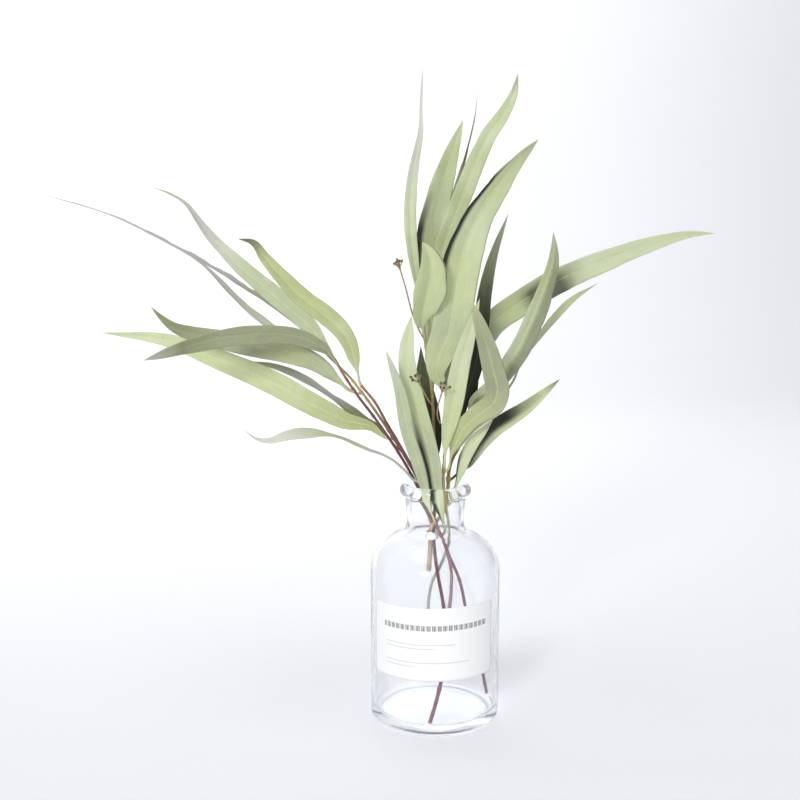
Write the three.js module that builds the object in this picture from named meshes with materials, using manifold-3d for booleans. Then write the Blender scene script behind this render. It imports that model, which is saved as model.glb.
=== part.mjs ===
// A small bunch of dried long-leaf eucalyptus in a glass bottle vase.
// Millimetres, +Z up. The origin is the centre of the bottle's underside, and the front faces -Y.

import * as THREE from "three";
import { mergeVertices } from "three/addons/utils/BufferGeometryUtils.js";
import Module from "manifold-3d";

const wasm = await Module();
wasm.setup();

// ---- driving dimensions, mm -------------------------------------------------------------------

const GAP = 0.3;                // clear space between two pieces that touch

const BODY_R = 40;              // bottle body, outside
const WALL = 3;                 // glass wall
const FLOOR = 6;                // glass under the stems
const HEEL_R = 4;               // rounding between the wall and the underside
const SHOULDER_Z = 93;          // the straight body ends here
const NECK_Z = 117;             // the shoulder meets the neck here
const NECK_R = 17.5;            // neck, outside
const LIP_R = 22;               // rolled lip, outside
const LIP_TUBE_R = 4;           // half the lip's thickness
const BOTTLE_H = 148;
const ROUND_SIDES = 48;         // facets round the bottle

const LABEL_LOW = 36;
const LABEL_HIGH = 81;
const LABEL_T = 0.4;
const LABEL_LEFT = -64;         // degrees from the front, seen from the front
const LABEL_RIGHT = 56;

const TIE_Z = 114;              // middle of the tie
const TIE_HIGH = 4;
const TIE_T = 0.8;

const LEAF_T = 0.9;             // thickness of a leaf along its midrib
const PETIOLE_R = 0.8;
const PETIOLE = 9;              // length of the narrow stalk before the blade starts
const RIB_STEPS = 13;           // cross-sections from the leaf's base to just before its tip
const STEM_SIDES = 8;

// ---- materials ----------------------------------------------------------------------------------

const material = (color, roughness, extra = {}) =>
  new THREE.MeshStandardMaterial({ color, roughness, metalness: 0, ...extra });

const glass = material(0xdfe8ea, 0.05, { transparent: true, opacity: 0.35 });
const paper = material(0xf4f4f2, 0.7);
const cord = material(0xf0efec, 0.8);
const greenLeaf = material(0x8f9d6c, 0.65);
const darkLeaf = material(0x66735a, 0.65);
const greyLeaf = material(0x9aa08e, 0.7);
const redStem = material(0x6b4038, 0.7);
const tanStem = material(0xa07b4c, 0.75);
const greyStem = material(0x8d8f88, 0.75);
const bud = material(0x7c7a4e, 0.7);

const object = new THREE.Group();

function add(name, geometry, surface) {
  const mesh = new THREE.Mesh(geometry, surface);
  mesh.name = name;
  object.add(mesh);
  return mesh;
}

const point = ([x, y, z]) => new THREE.Vector3(x, y, z);
const curve = (points) => new THREE.CatmullRomCurve3(points, false, "centripetal");

// ---- swept solids ---------------------------------------------------------------------------------

// Joins rings of points into one closed solid. Every ring has the same number of points, running
// anticlockwise as seen from the tip end. The base is closed flat, and so is the far end unless a
// tip point is given. The two halves of a ring have opposite diagonals, so that the two faces of a
// thin twisted blade bend the same way and never meet.
function skin(rings, tip) {
  const sides = rings[0].length;
  const faces = [];
  const at = (ring, side) => ring * sides + (side % sides);
  for (let side = 1; side < sides - 1; side++) faces.push(at(0, 0), at(0, side + 1), at(0, side));
  for (let ring = 0; ring < rings.length - 1; ring++) {
    for (let side = 0; side < sides; side++) {
      const [a, b] = [at(ring, side), at(ring, side + 1)];
      const [c, d] = [at(ring + 1, side + 1), at(ring + 1, side)];
      if (side < sides / 2) faces.push(a, b, c, a, c, d);
      else faces.push(a, b, d, b, c, d);
    }
  }
  const last = rings.length - 1;
  const points = rings.flat();
  if (tip) {
    points.push(tip);
    for (let side = 0; side < sides; side++) {
      faces.push(at(last, side), at(last, side + 1), points.length - 1);
    }
  } else {
    for (let side = 1; side < sides - 1; side++) {
      faces.push(at(last, 0), at(last, side), at(last, side + 1));
    }
  }
  const geometry = new THREE.BufferGeometry().setFromPoints(points);
  geometry.setIndex(faces);
  geometry.computeVertexNormals();
  return geometry;
}

// A round stem along a curve, thinning evenly from its cut end to its top.
function tube(path, baseR, topR, steps) {
  const frames = path.computeFrenetFrames(steps, false);
  const rings = [];
  for (let step = 0; step <= steps; step++) {
    const centre = path.getPointAt(step / steps);
    const radius = THREE.MathUtils.lerp(baseR, topR, step / steps);
    const ring = [];
    for (let side = 0; side < STEM_SIDES; side++) {
      const angle = 2 * Math.PI * side / STEM_SIDES;
      ring.push(centre.clone()
        .addScaledVector(frames.normals[step], radius * Math.cos(angle))
        .addScaledVector(frames.binormals[step], radius * Math.sin(angle)));
    }
    rings.push(ring);
  }
  return skin(rings);
}

// ---- bottle -------------------------------------------------------------------------------------

function bottleProfile() {
  const inner = BODY_R - WALL;
  const neckInner = NECK_R - WALL;
  const lipZ = BOTTLE_H - LIP_TUBE_R;
  const lipCentre = LIP_R - LIP_TUBE_R;
  const outside = new THREE.Path();
  outside.moveTo(0, 0);
  outside.lineTo(BODY_R - HEEL_R, 0);
  outside.absarc(BODY_R - HEEL_R, HEEL_R, HEEL_R, -Math.PI / 2, 0);
  outside.lineTo(BODY_R, SHOULDER_Z);
  outside.bezierCurveTo(BODY_R, 106, 32, 113, 22, NECK_Z);
  outside.quadraticCurveTo(NECK_R, 119, NECK_R, 125);
  outside.lineTo(NECK_R, lipZ - LIP_TUBE_R);
  outside.absarc(lipCentre, lipZ, LIP_TUBE_R, -Math.PI / 2, Math.PI);
  outside.lineTo(neckInner, lipZ - LIP_TUBE_R);
  outside.lineTo(neckInner, 124);
  outside.quadraticCurveTo(neckInner, 117, 19, 115);
  outside.bezierCurveTo(29, 111, inner, 104, inner, SHOULDER_Z);
  outside.lineTo(inner, FLOOR + HEEL_R);
  outside.absarc(inner - HEEL_R, FLOOR + HEEL_R, HEEL_R, 0, -Math.PI / 2, true);
  outside.lineTo(0, FLOOR);
  return outside.getPoints(4);
}

function turned(profile) {
  const geometry = new THREE.LatheGeometry(profile, ROUND_SIDES);
  geometry.rotateX(Math.PI / 2);
  return geometry;
}

add("bottle", turned(bottleProfile()), glass);

// ---- label ----------------------------------------------------------------------------------------

function labelGeometry() {
  const inside = BODY_R + GAP;
  const start = THREE.MathUtils.degToRad(LABEL_LEFT - 90);
  const end = THREE.MathUtils.degToRad(LABEL_RIGHT - 90);
  const outline = new THREE.Shape();
  outline.absarc(0, 0, inside + LABEL_T, start, end, false);
  outline.absarc(0, 0, inside, end, start, true);
  outline.closePath();
  const depth = LABEL_HIGH - LABEL_LOW;
  const geometry = new THREE.ExtrudeGeometry(outline, { depth, bevelEnabled: false, curveSegments: 20 });
  geometry.translate(0, 0, LABEL_LOW);
  return geometry;
}

add("label", labelGeometry(), paper);

// ---- stems ----------------------------------------------------------------------------------------

// Each stem runs from its cut end in the bottle to its top.
const stems = {
  stem_left_front: {
    points: [[34, 6, 10], [29, 8, 33], [20, 8, 64], [16, 4, 84], [7, -3, 106], [1, -5, 122],
      [-7, -4, 144], [-17, -5, 164], [-29, -7, 185], [-39, -10, 203], [-45, -12, 210]],
    baseR: 1.1, topR: 0.75, surface: redStem,
  },
  stem_left_long: {
    points: [[-4, -34, 7], [3, -26, 30], [8, -10, 66], [10, -2, 82], [9, 3, 99], [2, 6, 116],
      [-9, 4, 141], [-19, 4, 160], [-34, 5, 183], [-51, 6, 206], [-62, 7, 224]],
    baseR: 1.15, topR: 0.75, surface: redStem,
  },
  stem_left_back: {
    points: [[0, 10, 112], [-8, 9, 142], [-16, 9, 158], [-25, 9, 173], [-39, 11, 194],
      [-51, 12, 210]],
    baseR: 1, topR: 0.75, surface: tanStem,
  },
  stem_centre: {
    points: [[8, -2, 44], [6, 0, 66], [2, 2, 88], [-1, 3, 113], [0, 4, 137], [1, 5, 155],
      [-1, 4, 180], [-2, 4, 202], [-5, 2, 224], [-8, -1, 245]],
    baseR: 1.1, topR: 0.75, surface: redStem,
  },
  stem_right_stub: {
    points: [[-4, -1, 93], [-3, -1, 108], [-3, -1, 118], [2, 0, 127], [7, 1, 137], [8, 3, 152],
      [11, 6, 164], [18, 9, 173], [28, 12, 185], [40, 10, 199]],
    baseR: 1.5, topR: 0.75, surface: tanStem,
  },
  stem_right_grey: {
    points: [[-4, 2, 42], [-4, 6, 66], [-3, 8, 79], [3, 8, 92], [9, 7, 109], [8, 1, 125],
      [5, -6, 145], [5, -6, 163], [6, -5, 182], [6, -4, 204]],
    baseR: 1, topR: 0.75, surface: greyStem,
  },
};

for (const [name, stem] of Object.entries(stems)) {
  stem.path = curve(stem.points.map(point));
  stem.radiusAt = (t) => THREE.MathUtils.lerp(stem.baseR, stem.topR, t);
  const steps = Math.round(stem.path.getLength() / 14);
  add(name, tube(stem.path, stem.baseR, stem.topR, steps), stem.surface);
}

// ---- leaves ---------------------------------------------------------------------------------------

// Where a stem passes a height, as a fraction of its length.
function fractionAtHeight(path, height) {
  let low = 0;
  let high = 1;
  while (high - low > 1e-4) {
    const middle = (low + high) / 2;
    if (path.getPointAt(middle).z < height) low = middle;
    else high = middle;
  }
  return (low + high) / 2;
}

// The foot of a leaf's stalk: beside its stem, on the side that faces the blade, or past its top.
function foot(stem, height, towards) {
  const t = fractionAtHeight(stem.path, height);
  const centre = stem.path.getPointAt(t);
  const along = stem.path.getTangentAt(t);
  const side = towards.clone().sub(centre);
  if (t < 0.99) side.addScaledVector(along, -side.dot(along));
  const clear = t < 0.99 ? stem.radiusAt(t) + PETIOLE_R : 0;
  return centre.addScaledVector(side.normalize(), clear + GAP);
}

// Half the blade's width at a fraction of its length, as a share of its widest.
function bladeShape(u, belly, taper) {
  const rise = taper * belly / (1 - belly);
  return (u / belly) ** rise * ((1 - u) / (1 - belly)) ** taper;
}

// One leaf: a narrow stalk that widens into a long blade, folded a little along its midrib.
// turn is how far the blade is twisted from facing the front, in degrees, from base to tip.
function leafGeometry({ stem, at, path, width, turn, belly = 0.42, taper = 1.1, fold = 14 }) {
  const points = path.map(point);
  const rib = curve([foot(stems[stem], at, points[0]), ...points]);
  const length = rib.getLength();
  const bladeStart = PETIOLE / length;
  const turns = curve(turn.map((angle) => new THREE.Vector3(angle, 0, 0)));
  const front = new THREE.Vector3(0, -1, 0);
  const rings = [];
  for (let step = 0; step < RIB_STEPS; step++) {
    const u = step / RIB_STEPS;
    const centre = rib.getPointAt(u);
    const along = rib.getTangentAt(u);
    const facing = front.clone().addScaledVector(along, -front.dot(along)).normalize();
    facing.applyAxisAngle(along, THREE.MathUtils.degToRad(turns.getPoint(u).x));
    const across = new THREE.Vector3().crossVectors(facing, along);
    const blade = Math.max(0, (u - bladeStart) / (1 - bladeStart));
    const half = Math.max(PETIOLE_R, width / 2 * bladeShape(blade, belly, taper));
    const rise = half * Math.tan(THREE.MathUtils.degToRad(fold));
    const thick = Math.min(PETIOLE_R, LEAF_T / 2 * (1.6 - 0.9 * u));
    rings.push([
      centre.clone().addScaledVector(across, half).addScaledVector(facing, rise),
      centre.clone().addScaledVector(facing, thick),
      centre.clone().addScaledVector(across, -half).addScaledVector(facing, rise),
      centre.clone().addScaledVector(facing, -thick),
    ]);
  }
  return skin(rings, rib.getPointAt(1));
}

const leaves = {
  // left spray
  leaf_left_kinked: {
    stem: "stem_left_front", at: 210, width: 11.5, turn: [15, 20, 30], belly: 0.4, taper: 0.75,
    path: [[-48, -16, 223], [-53, -19, 239], [-63, -24, 251], [-78, -28, 263], [-92, -33, 278],
      [-103, -36, 292], [-106, -37, 296], [-113, -38, 297]],
    surface: greenLeaf,
  },
  leaf_left_high: {
    stem: "stem_left_long", at: 224, width: 12, turn: [10, 25, 35], belly: 0.28, taper: 1.4,
    path: [[-69, 14, 233], [-78, 19, 243], [-101, 27, 262], [-125, 34, 282], [-144, 40, 301],
      [-159, 45, 320], [-179, 50, 329]],
    surface: greenLeaf,
  },
  leaf_left_whip: {
    stem: "stem_left_back", at: 210, width: 9, turn: [70, 80, 80], taper: 2,
    path: [[-68, 20, 226], [-86, 27, 243], [-102, 34, 254], [-130, 46, 271], [-169, 58, 292],
      [-211, 66, 312], [-256, 72, 325]],
    surface: greyLeaf,
  },
  leaf_left_grey: {
    stem: "stem_left_back", at: 203, width: 8, turn: [50, 60, 50], belly: 0.35, taper: 1.3,
    path: [[-68, 15, 213], [-82, 18, 223], [-104, 27, 242], [-122, 35, 256], [-148, 43, 281],
      [-166, 48, 292]],
    surface: greyLeaf,
  },
  leaf_left_dark: {
    stem: "stem_left_long", at: 221, width: 12, turn: [-10, -20, -20], belly: 0.45, taper: 0.7,
    path: [[-67, -10, 232], [-77, -18, 238], [-89, -26, 242], [-118, -40, 242], [-142, -49, 237],
      [-165, -56, 230]],
    surface: darkLeaf,
  },
  leaf_left_under: {
    stem: "stem_left_long", at: 205, width: 13.5, turn: [0, 0, 0], belly: 0.38, taper: 0.9,
    path: [[-61, 3, 213], [-72, 0, 222], [-85, -4, 228], [-117, -8, 235], [-148, -4, 241],
      [-160, 0, 245], [-173, 6, 256]],
    surface: darkLeaf,
  },
  leaf_left_broad: {
    stem: "stem_left_back", at: 175, width: 14.5, turn: [10, 10, 10], belly: 0.36, taper: 1,
    path: [[-37, 10, 181], [-49, 9, 183], [-73, 9, 194], [-103, 12, 210], [-135, 16, 223],
      [-167, 22, 234], [-210, 30, 238]],
    surface: greenLeaf,
  },
  leaf_left_twisted: {
    stem: "stem_left_back", at: 168, width: 9, turn: [30, 55, 75, 40, 30], belly: 0.35,
    path: [[-33, 14, 178], [-43, 17, 183], [-59, 21, 194], [-86, 26, 211], [-102, 28, 217],
      [-123, 33, 220]],
    surface: darkLeaf,
  },
  leaf_left_low: {
    stem: "stem_left_front", at: 151, width: 7.5, turn: [40, 55, 80, 30, 40], belly: 0.6, taper: 1.6,
    path: [[-28, -7, 165], [-41, -11, 171], [-63, -19, 181], [-84, -26, 183], [-102, -33, 180],
      [-112, -38, 188]],
    surface: greyLeaf,
  },
  // centre
  leaf_centre_slim: {
    stem: "stem_centre", at: 245, width: 7.5, turn: [30, 15, 10], belly: 0.38, taper: 1.7,
    path: [[-10, -5, 261], [-15, -12, 293], [-16, -16, 316], [-14, -20, 337], [-10, -24, 358],
      [-10, -26, 371], [-9, -28, 392]],
    surface: greyLeaf,
  },
  leaf_centre_back: {
    stem: "stem_centre", at: 240, width: 17, turn: [0, 10, 10], belly: 0.45, taper: 0.9,
    path: [[-7, 9, 250], [-6, 15, 266], [-3, 23, 301], [1, 27, 318], [6, 30, 337], [17, 34, 369]],
    surface: greenLeaf,
  },
  leaf_centre_whip: {
    stem: "stem_centre", at: 225, width: 10, turn: [0, 10, 10, 20, 65, 86, 88], belly: 0.5,
    path: [[-4, 15, 240], [-1, 30, 265], [6, 38, 296], [14, 43, 331], [22, 48, 358], [26, 50, 377],
      [27, 50, 388]],
    surface: darkLeaf,
  },
  leaf_centre_tall: {
    stem: "stem_centre", at: 232, width: 11.5, turn: [0, 10, 15], belly: 0.5, taper: 0.65,
    path: [[-1, 6, 250], [1, 8, 268], [5, 5, 294], [12, 2, 314], [21, -1, 337], [31, -4, 359],
      [39, -6, 370], [44, -6, 380], [47, -3, 392]],
    surface: greenLeaf,
  },
  leaf_centre_short: {
    stem: "stem_centre", at: 237, width: 21, turn: [30, 30, 20], belly: 0.5, taper: 0.9, fold: 22,
    path: [[-9, -13, 250], [-7, -19, 261], [-4, -24, 279], [-6, -26, 289], [-9, -27, 295]],
    surface: greenLeaf,
  },
  leaf_centre_broad: {
    stem: "stem_right_grey", at: 204, width: 23.5, turn: [-15, -5, 28, 35], belly: 0.36, taper: 0.8,
    fold: 20,
    path: [[0, -6, 219], [8, -8, 244], [12, -9, 270], [17, -9, 294], [26, -9, 314], [46, -4, 341],
      [60, 2, 355]],
    surface: greenLeaf,
  },
  leaf_centre_shade: {
    stem: "stem_right_stub", at: 174, width: 10, turn: [0, 0, 20], belly: 0.4, taper: 0.9,
    path: [[18, 14, 196], [23, 16, 211], [27, 19, 230], [31, 22, 265], [36, 24, 287], [45, 26, 312]],
    surface: darkLeaf,
  },
  leaf_centre_front: {
    stem: "stem_right_grey", at: 160, width: 12, turn: [0, 0, 0], belly: 0.45, taper: 0.9,
    path: [[6, -12, 177], [9, -14, 193], [14, -17, 223], [18, -17, 238], [25, -15, 262]],
    surface: greenLeaf,
  },
  leaf_centre_left: {
    stem: "stem_left_front", at: 125, width: 9, turn: [0, 0, 10], belly: 0.42, taper: 0.8,
    path: [[-4, -9, 137], [-6, -10, 146], [-10, -14, 162], [-18, -21, 188], [-22, -25, 209],
      [-30, -30, 233]],
    surface: darkLeaf,
  },
  leaf_centre_low: {
    stem: "stem_left_front", at: 116, width: 12.5, turn: [-10, 0, 0], belly: 0.5, taper: 0.6,
    path: [[4, -7, 128], [0, -8, 146], [-2, -9, 159], [-6, -10, 175], [-13, -13, 201],
      [-18, -15, 228], [-15, -16, 252]],
    surface: greenLeaf,
  },
  leaf_centre_hidden: {
    stem: "stem_centre", at: 150, width: 13, turn: [0, 0, 0],
    path: [[0, 10, 160], [-1, 12, 173], [-4, 13, 191], [-8, 13, 213], [-9, 13, 231]],
    surface: darkLeaf,
  },
  leaf_back_high: {
    stem: "stem_centre", at: 205, width: 16, turn: [10, 10, 10],
    path: [[0, 22, 222], [-2, 36, 248], [1, 50, 274], [4, 62, 300], [8, 74, 328]],
    surface: greenLeaf,
  },
  leaf_back_low: {
    stem: "stem_right_stub", at: 168, width: 14, turn: [0, 10, 10],
    path: [[14, 25, 190], [13, 40, 218], [18, 52, 244], [24, 62, 266], [31, 70, 289]],
    surface: darkLeaf,
  },
  // right spray
  leaf_right_bent: {
    stem: "stem_right_grey", at: 157, width: 14, turn: [0, 0, 0, 0], belly: 0.45, taper: 0.7,
    path: [[9, -5, 165], [13, -9, 177], [19, -13, 187], [27, -17, 195], [33, -20, 200],
      [35.5, -22, 207], [34, -24, 216], [28.5, -26, 236], [20, -28, 261]],
    surface: darkLeaf,
  },
  leaf_right_long: {
    stem: "stem_right_stub", at: 180, width: 17, turn: [20, 10, 10], belly: 0.4, taper: 0.9,
    path: [[23, 18, 200], [23, 25, 218], [28, 27, 231], [38, 30, 245], [73, 36, 268], [98, 40, 279],
      [131, 45, 291], [161, 49, 299], [180, 52, 300]],
    surface: greenLeaf,
  },
  leaf_right_tall: {
    stem: "stem_right_stub", at: 176, width: 14, turn: [0, 20, 25], belly: 0.5, fold: 30, taper: 0.8,
    path: [[24, 8, 199], [34, 7, 207], [44, 6, 220], [54, 4, 239], [64, 0, 266], [69, -2, 284],
      [69, -4, 301]],
    surface: darkLeaf,
  },
  leaf_right_narrow: {
    stem: "stem_right_stub", at: 199, width: 6, turn: [60, 30, 30], belly: 0.6, taper: 1.2,
    path: [[48, 13, 209], [53, 15, 221], [59, 17, 230], [70, 20, 244], [85, 25, 259], [102, 30, 269]],
    surface: greyLeaf,
  },
  leaf_right_low: {
    stem: "stem_right_stub", at: 150, width: 10.5, turn: [10, 0, 0], belly: 0.4, taper: 0.85,
    path: [[13, 4, 153], [19, 3, 158], [27, 2, 172], [36, 1, 182], [54, -2, 195], [74, -7, 213]],
    surface: darkLeaf,
  },
  leaf_right_pale: {
    stem: "stem_right_stub", at: 138, width: 8, turn: [0, 0, 0], belly: 0.5,
    path: [[12, -4, 146], [15, -5, 156], [18, -6, 166], [23, -6, 175], [29, -5, 182], [35, -4, 189]],
    surface: greenLeaf,
  },
};

for (const [name, leaf] of Object.entries(leaves)) add(name, leafGeometry(leaf), leaf.surface);

// ---- flower buds ----------------------------------------------------------------------------------

function solidOf(geometry) {
  const bare = geometry.clone();
  bare.deleteAttribute("normal");
  bare.deleteAttribute("uv");
  const merged = mergeVertices(bare, 1e-4);
  return new wasm.Manifold(new wasm.Mesh({
    numProp: 3,
    vertProperties: Float32Array.from(merged.attributes.position.array),
    triVerts: Uint32Array.from(merged.index.array),
  }));
}

function geometryOf(solid) {
  const mesh = solid.getMesh();
  const geometry = new THREE.BufferGeometry();
  geometry.setAttribute("position", new THREE.BufferAttribute(mesh.vertProperties, 3));
  geometry.setIndex(new THREE.BufferAttribute(mesh.triVerts, 1));
  geometry.computeVertexNormals();
  return geometry;
}

// One bud: a thin foot, a swollen cup and a pointed cap, standing on its foot along +Z.
function budGeometry() {
  const profile = [[0, 0], [0.5, 0], [0.5, 1.6], [1.3, 2.8], [1.5, 3.8], [0.9, 4.9], [0, 5.8]];
  const geometry = new THREE.LatheGeometry(profile.map(([r, z]) => new THREE.Vector2(r, z)), 8);
  return geometry.rotateX(Math.PI / 2);
}

// Buds stand in a ring round the end of their stalk, with one more in the middle.
function clusterGeometry({ stem, at, path, buds, spread }) {
  const points = path.map(point);
  const stalk = curve([foot(stems[stem], at, points[0]), ...points]);
  const end = stalk.getPointAt(1);
  const outwards = new THREE.Quaternion().setFromUnitVectors(
    new THREE.Vector3(0, 0, 1), stalk.getTangentAt(1));
  let solid = solidOf(tube(stalk, PETIOLE_R, 0.6, 6));
  for (let n = 0; n <= buds; n++) {
    const lean = n < buds ? THREE.MathUtils.degToRad(spread) : 0;
    const around = 2 * Math.PI * n / buds;
    const bud = budGeometry();
    bud.translate(0, 0, -0.4);
    bud.rotateX(lean);
    bud.rotateZ(around);
    bud.applyQuaternion(outwards);
    bud.translate(end.x, end.y, end.z);
    solid = solid.add(solidOf(bud));
  }
  return geometryOf(solid);
}

const clusters = {
  buds_high: {
    stem: "stem_centre", at: 236, buds: 5, spread: 62,
    path: [[-12, -5, 246], [-19, -12, 270], [-22, -13, 283]],
  },
  buds_left: {
    stem: "stem_centre", at: 188, buds: 5, spread: 70,
    path: [[-1, -4, 194], [-6, -18, 204], [-11, -24, 216]],
  },
  buds_right: {
    stem: "stem_right_grey", at: 182, buds: 4, spread: 60,
    path: [[1, -12, 190], [1, -20, 200], [3, -23, 210]],
  },
};

for (const [name, cluster] of Object.entries(clusters)) add(name, clusterGeometry(cluster), bud);

// ---- tie --------------------------------------------------------------------------------------------

// A flat band wound round the cut stub and the stem beside it, just under the neck.
function tieGeometry() {
  const stub = stems.stem_right_stub;
  const neighbour = stems.stem_centre;
  const a = stub.path.getPointAt(fractionAtHeight(stub.path, TIE_Z));
  const b = neighbour.path.getPointAt(fractionAtHeight(neighbour.path, TIE_Z));
  const apart = a.distanceTo(b) / 2;
  const inside = stub.baseR + 2 * GAP;
  const loop = (shape, radius, turn) => {
    shape.absarc(apart, 0, radius, -turn * Math.PI / 2, turn * Math.PI / 2, turn < 0);
    shape.absarc(-apart, 0, radius, turn * Math.PI / 2, -turn * Math.PI / 2, turn < 0);
    shape.closePath();
    return shape;
  };
  const outline = loop(new THREE.Shape(), inside + TIE_T, 1);
  outline.holes.push(loop(new THREE.Path(), inside, -1));
  const geometry = new THREE.ExtrudeGeometry(outline, {
    depth: TIE_HIGH, bevelEnabled: false, curveSegments: 6,
  });
  geometry.rotateZ(Math.atan2(b.y - a.y, b.x - a.x));
  geometry.translate((a.x + b.x) / 2, (a.y + b.y) / 2, TIE_Z - TIE_HIGH / 2);
  return geometry;
}

add("tie", tieGeometry(), cord);

export default object;
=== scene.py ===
import math
from itertools import combinations, permutations

import bmesh
import bpy
import numpy as np
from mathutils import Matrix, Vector


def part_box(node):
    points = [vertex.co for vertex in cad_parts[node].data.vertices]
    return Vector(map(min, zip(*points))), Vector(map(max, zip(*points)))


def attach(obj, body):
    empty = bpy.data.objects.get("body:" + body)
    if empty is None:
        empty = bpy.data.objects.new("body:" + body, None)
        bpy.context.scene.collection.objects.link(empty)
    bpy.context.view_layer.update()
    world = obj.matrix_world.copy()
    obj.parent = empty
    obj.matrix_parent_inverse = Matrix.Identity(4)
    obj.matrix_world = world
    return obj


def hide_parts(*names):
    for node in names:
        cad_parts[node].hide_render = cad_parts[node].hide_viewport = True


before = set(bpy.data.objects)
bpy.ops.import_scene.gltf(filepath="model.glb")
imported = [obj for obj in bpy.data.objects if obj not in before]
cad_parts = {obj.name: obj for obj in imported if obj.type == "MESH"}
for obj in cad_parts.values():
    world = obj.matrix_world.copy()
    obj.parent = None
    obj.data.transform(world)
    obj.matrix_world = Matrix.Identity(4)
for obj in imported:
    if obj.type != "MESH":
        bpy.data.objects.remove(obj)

# A small bunch of dried long-leaf eucalyptus in a glass bottle vase.
# Lengths below are in millimetres; MM turns them into metres as a mesh is made.

MM = 0.001
FRONT = np.array([0.0, -1.0, 0.0])
OFF_FRONT = FRONT + 0.01  # for stalks that may point straight to the front
UPRIGHT = np.array([0.0, 0.0, 1.0])

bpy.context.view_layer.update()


# ---- camera, floor and lights ---------------------------------------------------------------------

def set_camera():
    """A slightly raised view from the front, turned down a little, as by someone at a table."""
    data = bpy.data.cameras.new("camera")
    data.sensor_width = 36
    data.lens = 52.1
    camera = bpy.data.objects.new("camera", data)
    camera.location = (-0.0218, -0.6974, 0.3017)
    camera.rotation_euler = (math.radians(90 - 8.33), 0, 0)
    bpy.context.scene.collection.objects.link(camera)
    bpy.context.scene.camera = camera


def soft_light(name, place, towards, size, power, colour):
    data = bpy.data.lights.new(name, "AREA")
    data.shape = "DISK"
    data.size = size
    data.energy = power
    data.color = colour
    light = bpy.data.objects.new(name, data)
    light.location = place
    light.rotation_euler = (Vector(towards) - Vector(place)).to_track_quat("-Z", "Y").to_euler()
    bpy.context.scene.collection.objects.link(light)


def set_lights():
    soft_light("window", (-0.75, -2.0, 0.95), (0, 0, 0.2), 0.5, 20.5, (1.0, 0.997, 0.99))
    soft_light("fill", (1.3, -1.5, 0.9), (0, 0, 0.15), 1.2, 5, (0.97, 0.985, 1.0))
    soft_light("overhead", (-0.5, -0.35, 2.2), (-0.4, -0.2, 0), 1.8, 20, (0.98, 0.99, 1.0))
    soft_light("backdrop", (-0.6, 0.6, 1.5), (-0.4, 2.2, 0.8), 1.2, 22, (0.98, 0.99, 1.0))
    world = bpy.data.worlds.new("room")
    world.use_nodes = True
    background = world.node_tree.nodes["Background"]
    background.inputs["Color"].default_value = (0.93, 0.955, 1.0, 1)
    background.inputs["Strength"].default_value = 0.32
    bpy.context.scene.world = world
    bpy.context.scene.view_settings.view_transform = "Standard"


# ---- materials ------------------------------------------------------------------------------------

def sum_of(operation, swapped=False):
    def work(self, other):
        pair = (other, self) if swapped else (self, other)
        return self.bench.node("Math", {"operation": operation}, dict(enumerate(pair)))
    return work


class Value:
    """A socket of a material. A sum on it adds Math nodes and gives the socket of the answer."""

    def __init__(self, bench, socket):
        self.bench = bench
        self.socket = socket

    __add__ = sum_of("ADD")
    __radd__ = sum_of("ADD", True)
    __sub__ = sum_of("SUBTRACT")
    __rsub__ = sum_of("SUBTRACT", True)
    __mul__ = sum_of("MULTIPLY")
    __rmul__ = sum_of("MULTIPLY", True)
    __truediv__ = sum_of("DIVIDE")
    __rtruediv__ = sum_of("DIVIDE", True)
    __mod__ = sum_of("FLOORED_MODULO")
    __gt__ = sum_of("GREATER_THAN")
    __lt__ = sum_of("LESS_THAN")

    def __abs__(self):
        return self.bench.node("Math", {"operation": "ABSOLUTE"}, {0: self})


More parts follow.
